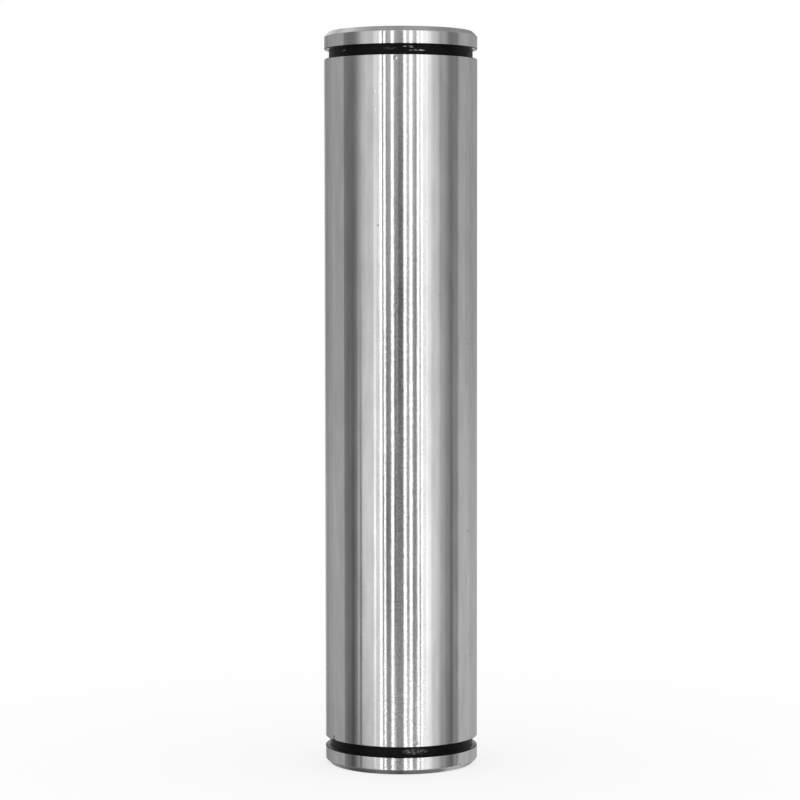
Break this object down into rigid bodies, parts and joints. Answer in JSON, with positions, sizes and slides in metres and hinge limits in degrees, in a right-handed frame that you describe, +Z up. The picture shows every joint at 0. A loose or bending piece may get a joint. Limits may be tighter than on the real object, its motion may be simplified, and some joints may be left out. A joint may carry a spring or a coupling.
{
  "type": "bucket pivot pin",
  "caption": "Straight ground steel pin with chamfered ends and a retaining-ring groove near each end; it hinges an excavator's bucket to its arm or link.",
  "frame": {"origin": "centre of the lower end face, on the pin's axis", "axes": "+Z up along the pin's axis, from the lower end to the upper; X and Y are free, as the pin is round"},
  "size_m": [0.05, 0.05, 0.24],
  "materials": {
    "ground_steel": "hardened, ground and polished; the ring grooves' floors are left black"
  },
  "bodies": {
    "root": {"pivot_pin": "ground_steel"}
  },
  "joints": []
}
